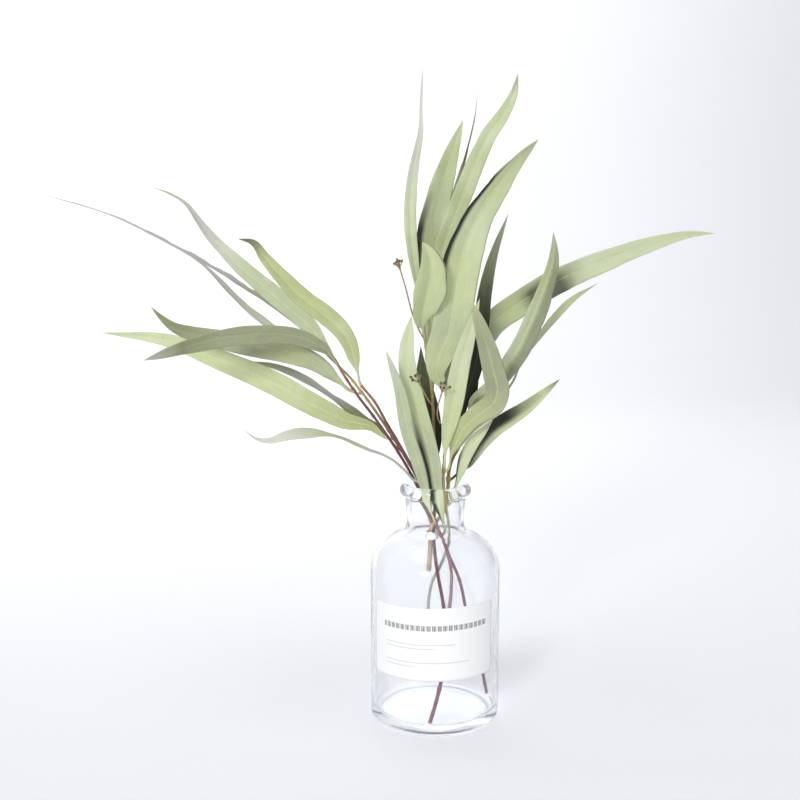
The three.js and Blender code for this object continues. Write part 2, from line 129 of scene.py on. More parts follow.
class Bench:
    """Where one material's nodes are put together."""

    def __init__(self, name):
        self.material = bpy.data.materials.new(name)
        self.material.use_nodes = True
        self.tree = self.material.node_tree
        self.tree.nodes.clear()

    def node(self, kind, settings, sockets, output=0):
        """Adds a node, with its settings first and then the values or links of its sockets."""
        made = self.tree.nodes.new("ShaderNode" + kind)
        for name, value in settings.items():
            setattr(made, name, value)
        for key, value in sockets.items():
            if isinstance(value, Value):
                self.tree.links.new(value.socket, made.inputs[key])
            else:
                made.inputs[key].default_value = value
        return Value(self, made.outputs[output])

    def mark(self, name):
        """A number that the mesh carries at each point."""
        return self.node("Attribute", {"attribute_name": name}, {}, "Fac")

    def tint(self, name):
        """A colour that the mesh carries at each point."""
        return self.node("Attribute", {"attribute_name": name}, {}, "Color")

    def place(self, x, y, z):
        return self.node("CombineXYZ", {}, {0: x, 1: y, 2: z})

    def here(self, stretch):
        """The point on the object, in metres, stretched along each axis."""
        point = self.node("TexCoord", {}, {}, "Object")
        return self.node("VectorMath", {"operation": "MULTIPLY"}, {0: point, 1: stretch})

    def noise(self, vector, scale=1.0, detail=2.0, rough=0.5):
        return self.node("TexNoise", {}, {
            "Vector": vector, "Scale": scale, "Detail": detail, "Roughness": rough,
        }, "Fac")

    def ease(self, value, low, high, start=0.0, end=1.0):
        """Goes smoothly from start to end as the value goes from low to high."""
        return self.node("MapRange", {"interpolation_type": "SMOOTHSTEP"}, {
            "Value": value, "From Min": low, "From Max": high, "To Min": start, "To Max": end,
        })

    def mix(self, share, first, second, blend="MIX"):
        """Colours from the first to the second, by share."""
        return self.node("Mix", {"data_type": "RGBA", "blend_type": blend}, {
            0: share, 6: first, 7: second,
        }, 2)

    def bump(self, height, deep, strength=1.0):
        return self.node("Bump", {}, {
            "Height": height, "Distance": deep * MM, "Strength": strength,
        })

    def shader(self, **sockets):
        return self.node("BsdfPrincipled", {}, {
            name.replace("_", " "): value for name, value in sockets.items()
        })

    def finish(self, shader):
        output = self.tree.nodes.new("ShaderNodeOutputMaterial")
        self.tree.links.new(shader.socket, output.inputs["Surface"])
        return self.material


def linear(red, green, blue):
    """A colour as a paint chart gives it, 0 to 255, as the light that it reflects."""
    shares = [c / 255 for c in (red, green, blue)]
    return tuple(((s + 0.055) / 1.055) ** 2.4 if s > 0.04045 else s / 12.92 for s in shares)


def paint(red, green, blue):
    return (*linear(red, green, blue), 1.0)


def backdrop_paper():
    bench = Bench("backdrop_paper")
    cloud = bench.noise(bench.here((3, 3, 3)))
    colour = bench.mix(cloud, (0.915, 0.92, 0.94, 1), (0.935, 0.94, 0.957, 1))
    return bench.finish(bench.shader(Base_Color=colour, Roughness=0.9))


def leaf_finish(name, rib_shows, dull):
    """A dried leaf: streaked along its length, with a pale midrib, slanting side veins, fine oil
    glands, a thin dry margin and a greyer underside."""
    bench = Bench(name)
    # the tone carries painted shade and painted shadows that make_leaf mixed in, besides the leaf's own
    # colours
    tone = bench.tint("tone")
    along = bench.mark("along")
    across = bench.mark("across")
    reach = bench.mark("reach")
    margin = bench.mark("margin")
    under = bench.mark("under")
    number = bench.mark("number")
    off_rib = abs(across)

    streak = bench.noise(bench.place(along * 0.06, across * 0.7, number), detail=4)
    patch = bench.noise(bench.place(along * 0.14, across * 0.26, number + 5), detail=4)
    grain = bench.noise(bench.place(along * 1.3, across * 1.7, number), detail=4, rough=0.7)
    gland = bench.ease(bench.noise(bench.place(along * 1.9, across * 2.1, number + 9)), 0.6, 0.72)
    wander = bench.noise(bench.place(along * 0.3, across * 0.3, number + 3))
    slant = (along - 1.2 * off_rib) / 2.3 + wander * 1.4
    vein = bench.ease(abs(slant % 1 - 0.5), 0.36, 0.5)
    rib_fades = bench.ease(reach, 0.55, 0.98, 1.0, 0.1)
    broken = bench.ease(bench.noise(bench.place(along * 0.5, 0.0, number + 17)), 0.36, 0.56, 0.35, 1.0)
    rib = bench.ease(off_rib, 0.1, 0.6, 1.0, 0.0) * rib_fades * broken
    hem = bench.ease(margin, 0.1, 0.45, 1.0, 0.0)
    spot = bench.ease(bench.noise(bench.place(along * 0.42, across * 0.5, number + 31)), 0.7, 0.78)

    pale = bench.ease(tone, 0.05, 0.3)
    light = 0.76 + 0.2 * streak + 0.24 * patch + 0.22 * grain
    colour = bench.mix(1.0, tone, light, "MULTIPLY")
    colour = bench.mix(patch * pale * 0.16, colour, paint(206, 208, 150))
    colour = bench.mix(vein * pale * 0.16, colour, paint(212, 220, 184))
    colour = bench.mix(gland * pale * 0.3, colour, paint(218, 224, 190))
    colour = bench.mix(rib * (0.12 + 0.88 * pale) * rib_shows, colour, paint(226, 222, 168))
    colour = bench.mix(hem * pale * 0.35, colour, paint(196, 190, 156))
    colour = bench.mix(spot * 0.4, colour, paint(128, 108, 80))
    colour = bench.mix(under * pale * 0.4, colour, paint(172, 178, 158))

    height = 0.5 * grain + 0.45 * vein + 0.25 * streak + 0.5 * rib
    return bench.finish(bench.shader(
        Base_Color=colour,
        Roughness=dull + 0.16 * grain - 0.1 * rib + 0.05 * under,
        Specular_IOR_Level=0.3,
        Normal=bench.bump(height, 0.16, 0.7),
    ))


def bark_finish(name, groove, dull):
    """Thin smooth bark with fine cracks along it, paler scars and a pale cut end."""
    bench = Bench(name)
    tone = bench.tint("tone")
    cut = bench.mark("cut")
    streak = bench.noise(bench.here((1500, 1500, 90)), detail=4, rough=0.6)
    patch = bench.noise(bench.here((160, 160, 60)), detail=2)
    speck = bench.ease(bench.noise(bench.here((1400, 1400, 700))), 0.62, 0.72)
    colour = bench.mix(1.0, tone, 0.6 + 0.55 * streak + 0.35 * patch, "MULTIPLY")
    colour = bench.mix(speck * 0.4, colour, paint(206, 182, 160))
    colour = bench.mix(cut, colour, paint(222, 198, 152))
    height = streak + 0.6 * speck
    return bench.finish(bench.shader(
        Base_Color=colour,
        Roughness=dull + 0.2 * streak,
        Specular_IOR_Level=0.35,
        Normal=bench.bump(height, groove),
    ))


def bud_finish():
    """Olive flower buds, browner towards their pointed caps."""
    bench = Bench("dried_bud")
    cap = bench.mark("cap")
    stalk = bench.mark("stalk")
    grain = bench.noise(bench.here((900, 900, 900)), detail=3)
    colour = bench.mix(cap, paint(164, 158, 104), paint(84, 66, 50))
    colour = bench.mix(stalk, colour, paint(164, 124, 108))
    colour = bench.mix(1.0, colour, 0.65 + 0.65 * grain, "MULTIPLY")
    return bench.finish(bench.shader(
        Base_Color=colour,
        Roughness=0.5 + 0.2 * grain,
        Normal=bench.bump(grain, 0.15),
    ))


def glass_finish():
    """Clear moulded glass, a little wavy, with a trace of green in its thick parts."""
    bench = Bench("bottle_glass")
    wave = bench.noise(bench.here((22, 22, 13)), detail=1)
    dust = bench.ease(bench.noise(bench.here((260, 260, 260)), detail=3), 0.5, 0.8)
    glass = bench.shader(
        Base_Color=(0.978, 0.986, 0.992, 1),
        Roughness=0.015 + 0.05 * dust,
        IOR=1.24,
        Transmission_Weight=1.0,
        Normal=bench.bump(wave, 0.9, 0.5),
    )
    lets_light = bench.node("LightPath", {}, {}, "Is Shadow Ray")
    clear = bench.node("BsdfTransparent", {}, {"Color": (0.965, 0.972, 0.98, 1)})
    share = lets_light * 0.94 + 0.06
    return bench.finish(bench.node("MixShader", {}, {0: share, 1: glass, 2: clear}))


def between(value, low, high):
    return (value > low) * (value < high)


RULE_HIGH = 0.6
# the fine rules on the label: the height of each, and where it starts and ends
RULES = ((-0.4, -31, 14), (-2.8, -31, 2), (-11.5, -31, 23), (-14.0, -31, -10))


def label_finish():
    """Matt white paper printed with a bar of plain strokes and fine rules, no lettering."""
    bench = Bench("label_paper")
    x = bench.mark("label_x")
    z = bench.mark("label_z")
    fibre = bench.noise(bench.here((900, 900, 900)), detail=4, rough=0.7)
    cloud = bench.noise(bench.here((60, 60, 60)))
    bars = between(z, 8.6, 11.9) * between(x, -32.5, 36.5)
    strokes = bars * ((x % 3.3) < 2.5) * (0.45 + 0.55 * ((x % 1.1) < 0.55))
    rules = 0
    for low, start, end in RULES:
        rules = rules + between(z, low, low + RULE_HIGH) * between(x, start, end)
    rules = rules * ((x % 1.7) < 1.2)
    worn = bench.ease(fibre, 0.2, 0.55, 0.55, 1.0)
    colour = bench.mix(cloud, (0.965, 0.965, 0.965, 1), (0.985, 0.985, 0.985, 1))
    colour = bench.mix(strokes * worn * 0.85, colour, paint(66, 68, 76))
    colour = bench.mix(rules * worn * 0.5, colour, paint(140, 140, 146))
    return bench.finish(bench.shader(
        Base_Color=colour,
        Roughness=0.62 + 0.2 * fibre,
        Normal=bench.bump(fibre, 0.05),
    ))


def cotton_finish():
    """White cotton twine, twisted, a little soiled, with painted shade in the grooves between its strands.
    """
    bench = Bench("cotton_twine")
    twist = bench.mark("twist")
    fibre = bench.noise(bench.here((2600, 2600, 2600)), detail=3)
    strand_bump_and_groove_shade = bench.ease(abs(twist % 1 - 0.5), 0.1, 0.5)
    # painted shade: the colour is white along each twist of the twine and grey in the grooves between its
    # strands
    colour = bench.mix(strand_bump_and_groove_shade, (0.76, 0.75, 0.73, 1), (0.97, 0.97, 0.97, 1))
    return bench.finish(bench.shader(
        Base_Color=bench.mix(fibre * 0.2, colour, (0.75, 0.74, 0.72, 1)),
        Roughness=0.8 + 0.1 * fibre,
        Normal=bench.bump(strand_bump_and_groove_shade + 0.4 * fibre, 0.2),
    ))


# ---- meshes -----------------------------------------------------------------------------------------

def flow(marks, values, at):
    """Values at points between the marks, on one smooth line through them all."""
    marks = np.asarray(marks, float)
    values = np.asarray(values, float).reshape(len(marks), -1)
    at = np.clip(np.asarray(at, float), marks[0], marks[-1])
    slopes = np.gradient(values, marks, axis=0)
    i = np.clip(np.searchsorted(marks, at, side="right") - 1, 0, len(marks) - 2)
    gap = (marks[i + 1] - marks[i])[:, None]
    t = (at - marks[i])[:, None] / gap
    start = (1 + 2 * t) * (1 - t) ** 2 * values[i] + t * (1 - t) ** 2 * gap * slopes[i]
    end = t ** 2 * (3 - 2 * t) * values[i + 1] + t ** 2 * (t - 1) * gap * slopes[i + 1]
    return start + end


def unit(vectors):
    return vectors / np.linalg.norm(vectors, axis=-1, keepdims=True)


def lengths(points):
    """How far along a line each of its points is."""
    steps = np.linalg.norm(np.diff(points, axis=0), axis=1)
    return np.concatenate([[0.0], np.cumsum(steps)])


def make_piece(name, points, faces, material, marks=None):
    """A smooth mesh from points in mm, with a number or a colour at each point by name."""
    mesh = bpy.data.meshes.new(name)
    mesh.from_pydata((np.asarray(points) * MM).tolist(), [], faces)
    for mark, values in (marks or {}).items():
        values = np.asarray(values, np.float32)
        if values.ndim == 1:
            mesh.attributes.new(mark, "FLOAT", "POINT").data.foreach_set("value", values)
        else:
            colours = np.ones((len(values), 4), np.float32)
            colours[:, :3] = values
            layer = mesh.attributes.new(mark, "FLOAT_COLOR", "POINT")
            layer.data.foreach_set("color", colours.ravel())
    work = bmesh.new()
    work.from_mesh(mesh)
    bmesh.ops.recalc_face_normals(work, faces=work.faces)
    for face in work.faces:
        face.smooth = True
    work.to_mesh(mesh)
    work.free()
    mesh.materials.append(material)
    piece = bpy.data.objects.new(name, mesh)
    bpy.context.scene.collection.objects.link(piece)
    return piece


def ring_faces(steps, sides, first=0, ends=True):
    """Faces that join rings of points in turn, with the end rings closed."""
    faces = []
    for step in range(steps - 1):
        for side in range(sides):
            a = first + step * sides + side
            b = first + step * sides + (side + 1) % sides
            faces.append((a, b, b + sides, a + sides))
    if ends:
        faces.append(tuple(first + side for side in reversed(range(sides))))
        faces.append(tuple(first + (steps - 1) * sides + side for side in range(sides)))
    return faces


def rings_round(path, forward, side, reach, sides):
    """Rings of points round a path. Each starts towards side, and reach is its radius."""
    other = np.cross(forward, side)
    around = 2 * math.pi * np.arange(sides) / sides
    return (
        path[:, None]
        + side[:, None] * (reach * np.cos(around))[..., None]
        + other[:, None] * (reach * np.sin(around))[..., None]
    )


def turned(profile, sides):
    """Points and faces of a closed profile of (radius, height) turned round the upright axis.
    The profile starts and ends on the axis."""
    points = [(0.0, 0.0, profile[0][1])]
    for radius, height in profile[1:-1]:
        for side in range(sides):
            angle = 2 * math.pi * side / sides
            points.append((radius * math.cos(angle), radius * math.sin(angle), height))
    points.append((0.0, 0.0, profile[-1][1]))
    rings = len(profile) - 2
    faces = ring_faces(rings, sides, 1, ends=False)
    last = len(points) - 1
    for side in range(sides):
        following = (side + 1) % sides
        faces.append((0, 1 + following, 1 + side))
        low = 1 + (rings - 1) * sides
        faces.append((last, low + side, low + following))
    return points, faces


def welded(name):
    """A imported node's mesh, in mm, with the corners that its faces share joined."""
    mesh = bmesh.new()
    mesh.from_mesh(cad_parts[name].data)
    bmesh.ops.remove_doubles(mesh, verts=mesh.verts, dist=1e-6)
    bmesh.ops.scale(mesh, vec=Vector((1, 1, 1)) / MM, verts=mesh.verts)
    return mesh


def belongs(piece, node):
    """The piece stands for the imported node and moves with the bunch."""
    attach(piece, "root")
    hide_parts(node)


# ---- stems ------------------------------------------------------------------------------------------

PACKED_STEM_SIDES = 8

WINE = linear(112, 72, 74)
PLUM = linear(122, 88, 100)
ROSE = linear(150, 106, 106)
RUST = linear(178, 120, 84)
BRONZE = linear(150, 122, 80)
STRAW = linear(188, 176, 108)
TAN = linear(164, 146, 126)
ASH = linear(162, 162, 156)
STONE = linear(138, 138, 134)

# each stem's bark and its colours from the cut end to the top
STEM_TONES = {
    "stem_left_front": ("stem_red", [PLUM, PLUM, WINE, PLUM, ROSE, WINE, WINE, RUST]),
    "stem_left_long": ("stem_red", [PLUM, PLUM, PLUM, ROSE, WINE, WINE, WINE, RUST]),
    "stem_left_back": ("stem_tan", [TAN, ROSE, WINE, BRONZE, STRAW]),
    "stem_centre": ("stem_red", [PLUM, WINE, PLUM, BRONZE, BRONZE, STRAW, STRAW]),
    "stem_right_stub": ("stem_tan", [TAN, TAN, STRAW, BRONZE, STRAW, STRAW]),
    "stem_right_grey": ("stem_grey", [STONE, ASH, ASH, STRAW, BRONZE, STRAW]),
}


def stem_line(name):
    """The centre and the radius of each section of a packed stem, from its cut end up."""
    mesh = welded(name)
    points = sorted((tuple(v.co) for v in mesh.verts), key=lambda p: p[2])
    rings = np.array(points).reshape(-1, PACKED_STEM_SIDES, 3)
    centres = rings.mean(axis=1)
    radii = np.linalg.norm(rings - centres[:, None], axis=2).mean(axis=1)
    return centres, radii


def tone_along(tones, share):
    """The colour at each share of the length, between evenly spaced tones."""
    spaced = np.linspace(0, 1, len(tones))
    return np.stack([np.interp(share, spaced, [t[c] for t in tones]) for c in range(3)], axis=-1)


def make_stem(name, line, joints, material, tones, number):
    """A stem with slim ridges and a swelling at each joint where a leaf sets off."""
    rng = np.random.default_rng(number)
    sides = 16
    centres, radii = line
    marks = lengths(centres)
    at = np.linspace(0, marks[-1], int(marks[-1] / 1.2))
    middle = flow(marks, centres, at)
    radius = flow(marks, radii, at)[:, 0]
    swell = np.zeros_like(at)
    for joint in joints:
        distance = at - marks[-1] * joint
        swell += 0.4 * np.exp(-(distance / 1.4) ** 2)
    for place in np.arange(18 + 6 * rng.random(), marks[-1] - 10, 26):
        distance = at - place - 6 * rng.random()
        swell += 0.22 * np.exp(-(distance / 1.1) ** 2)
    radius = radius * (1 + swell + 0.05 * np.sin(at * 0.9 + number))
    forward = unit(np.gradient(middle, at, axis=0))
    side = unit(np.cross(forward, FRONT))
    around = 2 * math.pi * np.arange(sides) / sides
    ridge = 1 + 0.07 * np.cos(5 * around[None] + 0.05 * at[:, None] + number)
    rings = rings_round(middle, forward, side, radius[:, None] * ridge, sides)
    steps = len(at)
    share = np.repeat(at / marks[-1], sides)
    return make_piece(name + "_bark", rings.reshape(-1, 3), ring_faces(steps, sides), material, {
        "tone": tone_along(tones, share),
        "cut": np.repeat((np.arange(steps) == 0) * 0.9, sides),
    })


# ---- leaves -----------------------------------------------------------------------------------------

LIME = linear(188, 199, 154)
LEMON = linear(176, 186, 134)
PALE = linear(198, 208, 172)
SAGE = linear(176, 186, 154)
OLIVE = linear(170, 174, 134)
DULL = linear(146, 152, 124)
# painted shade: this tone and the next two stand for leaf parts in shadow among the others, from a mid shade
# to near black
SHADE = linear(122, 128, 98)
DEEP_SHADE = linear(98, 104, 78)
SHADOW_BLACK = linear(40, 43, 36)
SILVER = linear(192, 196, 182)
GREY = linear(172, 172, 170)
MIST = linear(208, 208, 202)
FAWN = linear(150, 128, 104)
UMBER = linear(86, 72, 66)

# a leaf: its colours from its foot to its tip, some of them painted shade where the leaf lies in shadow,
# then the painted shadows that darken it towards near black, as (from, to, how far across, how wide, how
# strong);
# across is 1 at the margin on the left when the tip points up and the leaf is seen from the front, and -1 on
# the right
LEAVES = {
    "leaf_left_kinked": ("leaf_green", [OLIVE, SAGE, LEMON, LEMON, LIME] + [LEMON] * 6 + [SHADE, UMBER], []),
    "leaf_left_high": ("leaf_green", [OLIVE, SAGE, SAGE, SAGE, SAGE, SILVER, GREY, GREY, FAWN], []),
    "leaf_left_whip": ("leaf_grey", [SHADE, DULL, DULL, GREY, GREY, GREY, GREY, FAWN], []),
    "leaf_left_grey": ("leaf_grey", [SAGE, SILVER, SILVER, GREY, GREY], []),
    "leaf_left_dark": ("leaf_dark", [OLIVE, DULL, DULL, DULL, DULL, SHADE, GREY], []),
    "leaf_left_under": ("leaf_dark", [OLIVE, SAGE, OLIVE, DULL, DULL, SHADE, SHADE],
                        [(0.1, 0.5, -1, 0.25, 0.55)]),
    "leaf_left_broad": ("leaf_green", [LEMON, LEMON, LIME, LIME, LIME, PALE, SAGE], []),
    "leaf_left_twisted": ("leaf_dark", [DEEP_SHADE, DEEP_SHADE, SHADE, GREY, GREY, DULL, DULL], []),
    "leaf_left_low": ("leaf_grey", [SILVER, GREY, GREY, SAGE, SAGE, SILVER, MIST, MIST], []),
    "leaf_centre_slim": ("leaf_grey", [SAGE, PALE, PALE, PALE, SILVER, MIST, MIST], []),
    "leaf_centre_back": ("leaf_green", [LIME, LIME, LIME, PALE, LIME, LIME],
                         [(-0.3, 0.72, 1, 0.7, 1)]),
    # painted shade: the two brown tones next to the last darken the tip where it lies in shadow
    "leaf_centre_whip": ("leaf_dark", [DULL, SAGE, LIME, LIME, LIME, SAGE, SAGE, UMBER, UMBER, MIST], []),
    "leaf_centre_tall": ("leaf_green", [SAGE] + [LIME, PALE] * 6 + [DULL], []),
    "leaf_centre_short": ("leaf_green", [STRAW, LIME, LIME, LIME, LIME], [(0.6, 1.0, -1, 0.2, 0.5)]),
    "leaf_centre_broad": ("leaf_green", [SAGE, LIME, SAGE, LIME, LIME, PALE, LIME, LIME, OLIVE],
                          [(0.36, 0.9, 1, 0.4, 1)]),
    # painted shadow: this leaf is near black over its lower part, standing for the shade behind the broad
    # leaf
    "leaf_centre_shade": ("leaf_dark", [SHADOW_BLACK, SHADOW_BLACK, SHADOW_BLACK, SHADOW_BLACK, DEEP_SHADE, DULL, SAGE], []),
    "leaf_centre_front": ("leaf_green", [SAGE, LIME, LIME, PALE, PALE, LIME], []),
    "leaf_centre_left": ("leaf_dark", [SAGE, SAGE, SAGE, SAGE, SILVER], [(-0.2, 0.66, -1, 0.5, 1)]),
    "leaf_centre_low": ("leaf_green", [SHADE, SAGE, SAGE, LIME, PALE, PALE],
                        [(-0.2, 0.6, 1, 0.9, 1)]),
    # painted shadow: a near-black leaf that fills the shade deep in the bunch
    "leaf_centre_hidden": ("leaf_dark", [SHADOW_BLACK, SHADOW_BLACK, SHADOW_BLACK, DEEP_SHADE, DEEP_SHADE], []),
    "leaf_back_high": ("leaf_green", [DULL, SAGE, SAGE, LIME, SAGE], []),
    "leaf_back_low": ("leaf_dark", [SHADE, DULL, DULL, SAGE, DULL], []),
    "leaf_right_bent": ("leaf_green", [LIME, LEMON, LEMON, OLIVE, DULL, DULL, DULL, OLIVE],
                        [(-0.1, 0.45, -1, 0.4, 0.5)]),
    "leaf_right_long": ("leaf_green", [DEEP_SHADE, SAGE, SAGE, LIME, SAGE, PALE, PALE, PALE, LIME],
                        [(-0.1, 0.28, 0, 2.4, 0.95), (0.4, 0.575, -0.6, 1.8, 0.8)]),
    "leaf_right_tall": ("leaf_dark", [SAGE, PALE, PALE, PALE, LIME, SAGE],
                        [(-0.1, 1.1, -0.75, 0.85, 0.6)]),
    "leaf_right_narrow": ("leaf_grey", [DULL, OLIVE, SAGE, LIME, SAGE], []),
    "leaf_right_low": ("leaf_dark", [DEEP_SHADE, DEEP_SHADE, SAGE, SAGE, LIME, LIME, LIME, LIME, UMBER],
                       [(-0.5, 0.9, 0.6, 1.4, 1)]),
    "leaf_right_pale": ("leaf_green", [STRAW, LIME, PALE, PALE, SAGE], [(-0.1, 0.7, 1, 0.6, 0.9)]),
}


def rings_from(tip):
    """The rings of corners met one after another from a corner, as arrays of points."""
    rings = [[tip]]
    seen = {tip}
    while rings[-1]:
        ring = []
        for vertex in rings[-1]:
            for edge in vertex.link_edges:
                other = edge.other_vert(vertex)
                if other not in seen:
                    seen.add(other)
                    ring.append(other)
        rings.append(ring)
    return [np.array([v.co for v in ring]) for ring in rings[:-1]]


def leaf_rings(name):
    """The four-cornered sections of a packed leaf, from its foot on, and its tip."""
    mesh = welded(name)
    tried = [rings_from(corner) for corner in mesh.verts]
    even = [rings for rings in tried if all(len(ring) == 4 for ring in rings[1:])]
    rings = min(even, key=lambda rings: sum(r.var(axis=0).sum() for r in rings[1:]))
    return rings[:0:-1], rings[0][0]


def same_order(known, ring):
    """The ring's corners in the order of the corners of the ring before it."""
    shape = known - known.mean(axis=0)
    return min(
        (ring[list(order)] for order in permutations(range(4))),
        key=lambda tried: ((tried - tried.mean(axis=0) - shape) ** 2).sum(),
    )


def leaf_sections(name):
    """Along a packed leaf: its midrib's points, half its width, how steeply its halves fold
    up, and the directions across it."""
    rings, tip = leaf_rings(name)
    gaps = [max(combinations(range(4), 2), key=lambda p: np.linalg.norm(r[p[0]] - r[p[1]]))
            for r in rings]
    widest = max(range(len(rings)), key=lambda n: np.linalg.norm(
        rings[n][gaps[n][0]] - rings[n][gaps[n][1]]))
    ring = rings[widest]
    edges = list(gaps[widest])
    ribs = [n for n in range(4) if n not in edges]
    out = ring[edges].mean(axis=0) - ring[ribs].mean(axis=0)
    ribs.sort(key=lambda n: -ring[n] @ out)
    forward = rings[widest + 1].mean(axis=0) - rings[widest - 1].mean(axis=0)
    edges.sort(key=lambda n: -ring[n] @ np.cross(out, forward))
    rings[widest] = ring[[edges[0], ribs[0], edges[1], ribs[1]]]
    for n in range(widest + 1, len(rings)):
        rings[n] = same_order(rings[n - 1], rings[n])
    for n in range(widest - 1, -1, -1):
        rings[n] = same_order(rings[n + 1], rings[n])
    left, upper, right, lower = np.array(rings).transpose(1, 0, 2)
    middle = (upper + lower) / 2
    half = np.linalg.norm(left - right, axis=1) / 2
    forward = unit(np.gradient(np.vstack([middle, tip]), axis=0))[:-1]
    across = unit(left - right)
    out = unit(np.cross(forward, across))
    rise = (((left + right) / 2 - middle) * out).sum(axis=1) / half
    return {
        "middle": np.vstack([middle, tip]),
        "half": np.append(half, 0.1),
        "rise": np.append(rise, rise[-1]),
        "across": np.vstack([across, across[-1:]]),
    }


def nearest_stem(point, stem_lines):
    """The stem nearest to a leaf's foot, and the share of its length there."""
    found = []
    for name, (centres, _) in stem_lines.items():
        marks = lengths(centres)
        at = np.linspace(0, marks[-1], 800)
        distance = np.linalg.norm(flow(marks, centres, at) - point, axis=1)
        found.append((distance.min(), name, at[distance.argmin()] / marks[-1]))
    return min(found)[1:]


def painted_shade_at(painted_shadows, share, across):
    """How much painted shadow darkens the leaf at each point, from 0 to 1, from the listed shadows that say
    where it falls.
    """
    painted_shade = np.zeros_like(share)
    for start, end, side, wide, strength in painted_shadows:
        middle = (start + end) / 2
        along_part = np.clip(2.2 - 2.2 * abs(share - middle) / ((end - start) / 2), 0, 1)
        across_part = np.clip(1.7 - 1.7 * abs(across - side) / wide, 0, 1)
        soft = along_part * across_part * across_part * (3 - 2 * across_part)
        painted_shade = np.maximum(painted_shade, strength * soft)
    return painted_shade


PETIOLE_R = 0.7
BLADE_T = 0.34
BLADE_COLUMNS = 19          # points across one face of a blade
ROOT_DEPTH = 1.2            # how far down its stem a stalk takes root


def make_leaf(name, section, stem_line_here, stem_share, material, tones, painted_shadows, number):
    """A leaf as a thin closed blade on its stalk, which grows out of the stem."""
    rng = np.random.default_rng(number)
    centres, _ = stem_line_here
    stem_marks = lengths(centres)
    root_at = max(0.0, stem_share * stem_marks[-1] - ROOT_DEPTH)
    root = flow(stem_marks, centres, [root_at])[0]
    middle = np.vstack([root, section["middle"]])
    marks = lengths(middle)
    total = marks[-1]
    at = np.linspace(0, total, max(48, int(total / 2)))
    share = at / total

    def along(key):
        values = section[key]
        return flow(marks, np.concatenate([values[:1], values]), at)

    rib = flow(marks, middle, at)
    half = np.maximum(along("half")[:, 0], 0.1)
    rise = along("rise")[:, 0]
    forward = unit(np.gradient(rib, at, axis=0))
    across = along("across")
    across = unit(across - forward * (across * forward).sum(axis=1, keepdims=True))
    out = np.cross(forward, across)

    spaced = np.linspace(-1, 1, BLADE_COLUMNS)
    v = (0.75 * spaced + 0.25 * np.sin(spaced * math.pi / 2))[None]
    h = half[:, None]
    s = at[:, None]
    x = v * h
    stalk = np.clip((2.4 - h) / 1.5, 0, 1) * (s < 0.5 * total)
    stalk = stalk * stalk * (3 - 2 * stalk)

    waves = np.zeros_like(x)
    for side in (-1, 1):
        length = rng.uniform(26, 44)
        phase = rng.uniform(0, 2 * math.pi)
        size = rng.uniform(0.05, 0.11)
        ripple = size * np.sin(2 * math.pi * s / length + phase)
        ripple = ripple + 0.35 * size * np.sin(2 * math.pi * s / (length * 0.37) + 2 * phase)
        waves += ripple * h * np.clip(v * side, 0, 1) ** 2
    curl = rng.uniform(0.02, 0.1)
    fold = rise[:, None] * h * (np.sqrt(v ** 2 + 0.01) - 0.1)
    base = fold + waves - curl * h * v ** 4
    fade = np.clip((total - s) / 25, 0, 1) ** 0.5
    groove = 0.16 * np.exp(-(x / 0.45) ** 2) * fade
    keel = 0.42 * np.exp(-(x / 0.5) ** 2) * fade * np.clip(1.2 - share[:, None], 0, 1)
    thin = np.minimum(BLADE_T, 0.5 * h)
    thick = thin * (1 - 0.6 * np.abs(v) ** 3) / 2
    round_part = np.sqrt(np.clip(1 - v ** 2, 0, 1)) * np.minimum(PETIOLE_R, h)
    upper = base * (1 - stalk) + (thick - groove) * (1 - stalk) + round_part * stalk
    lower = base * (1 - stalk) - (thick + keel) * (1 - stalk) - round_part * stalk

    def lay(height):
        return rib[:, None] + across[:, None] * x[..., None] + out[:, None] * height[..., None]

    rings = np.concatenate([lay(upper), lay(lower)[:, -2:0:-1]], axis=1)
    v_rows = np.broadcast_to(v, x.shape)
    v_all = np.concatenate([v_rows, v_rows[:, -2:0:-1]], axis=1)
    steps, sides = rings.shape[:2]
    h_all = np.repeat(h, sides, axis=1)
    share_all = np.repeat(share[:, None], sides, axis=1)
    below = np.zeros((steps, sides))
    below[:, BLADE_COLUMNS:] = 1
    # painted shade: the leaf's colour is pulled towards near black where its listed shadows fall
    painted_shade = painted_shade_at(painted_shadows, share_all, v_all)[..., None]
    tone = tone_along(tones, share_all)
    tone = tone * (1 - painted_shade) + np.array(SHADOW_BLACK) * painted_shade
    return make_piece(name + "_blade", rings.reshape(-1, 3), ring_faces(steps, sides), material, {
        "tone": tone.reshape(-1, 3),
        "along": np.repeat(at, sides),
        "across": (v_all * h_all).ravel(),
        "reach": share_all.ravel(),
        "margin": (h_all * (1 - abs(v_all))).ravel(),
        "under": below.ravel(),
        "number": np.full(steps * sides, number * 3.7),
    })


# ---- flower buds ------------------------------------------------------------------------------------

# a cluster: the points of its stalk from the stem out, how many buds, how far they spread
BUDS = {
    "buds_high": ([(-8, -3, 238), (-12, -5, 246), (-19, -12, 270), (-22, -13, 280)], 7, 58),
    "buds_left": ([(-1, 4, 188), (-1, -4, 194), (-6, -18, 204), (-11, -24, 214)], 6, 66),
    "buds_right": ([(6, -5, 182), (1, -12, 190), (1, -20, 200), (3, -23, 208)], 6, 58),
}

BUD_PROFILE = [
    (0, 0), (0.26, 0), (0.3, 0.6), (0.6, 1.2), (1.0, 1.9), (1.25, 2.6), (1.34, 3.1),
    (1.28, 3.3), (1.36, 3.4), (1.2, 3.8), (0.85, 4.3), (0.45, 4.8), (0.14, 5.2), (0, 5.3),
]


def twig(path, radius, sides):
    """Points and faces of a thin round stalk along a path."""
    marks = lengths(path)
    forward = unit(np.gradient(path, marks, axis=0))
    side = unit(np.cross(forward, OFF_FRONT))
    reach = np.broadcast_to(radius, len(path))[:, None]
    rings = rings_round(path, forward, side, reach, sides)
    return rings.reshape(-1, 3), ring_faces(len(path), sides)


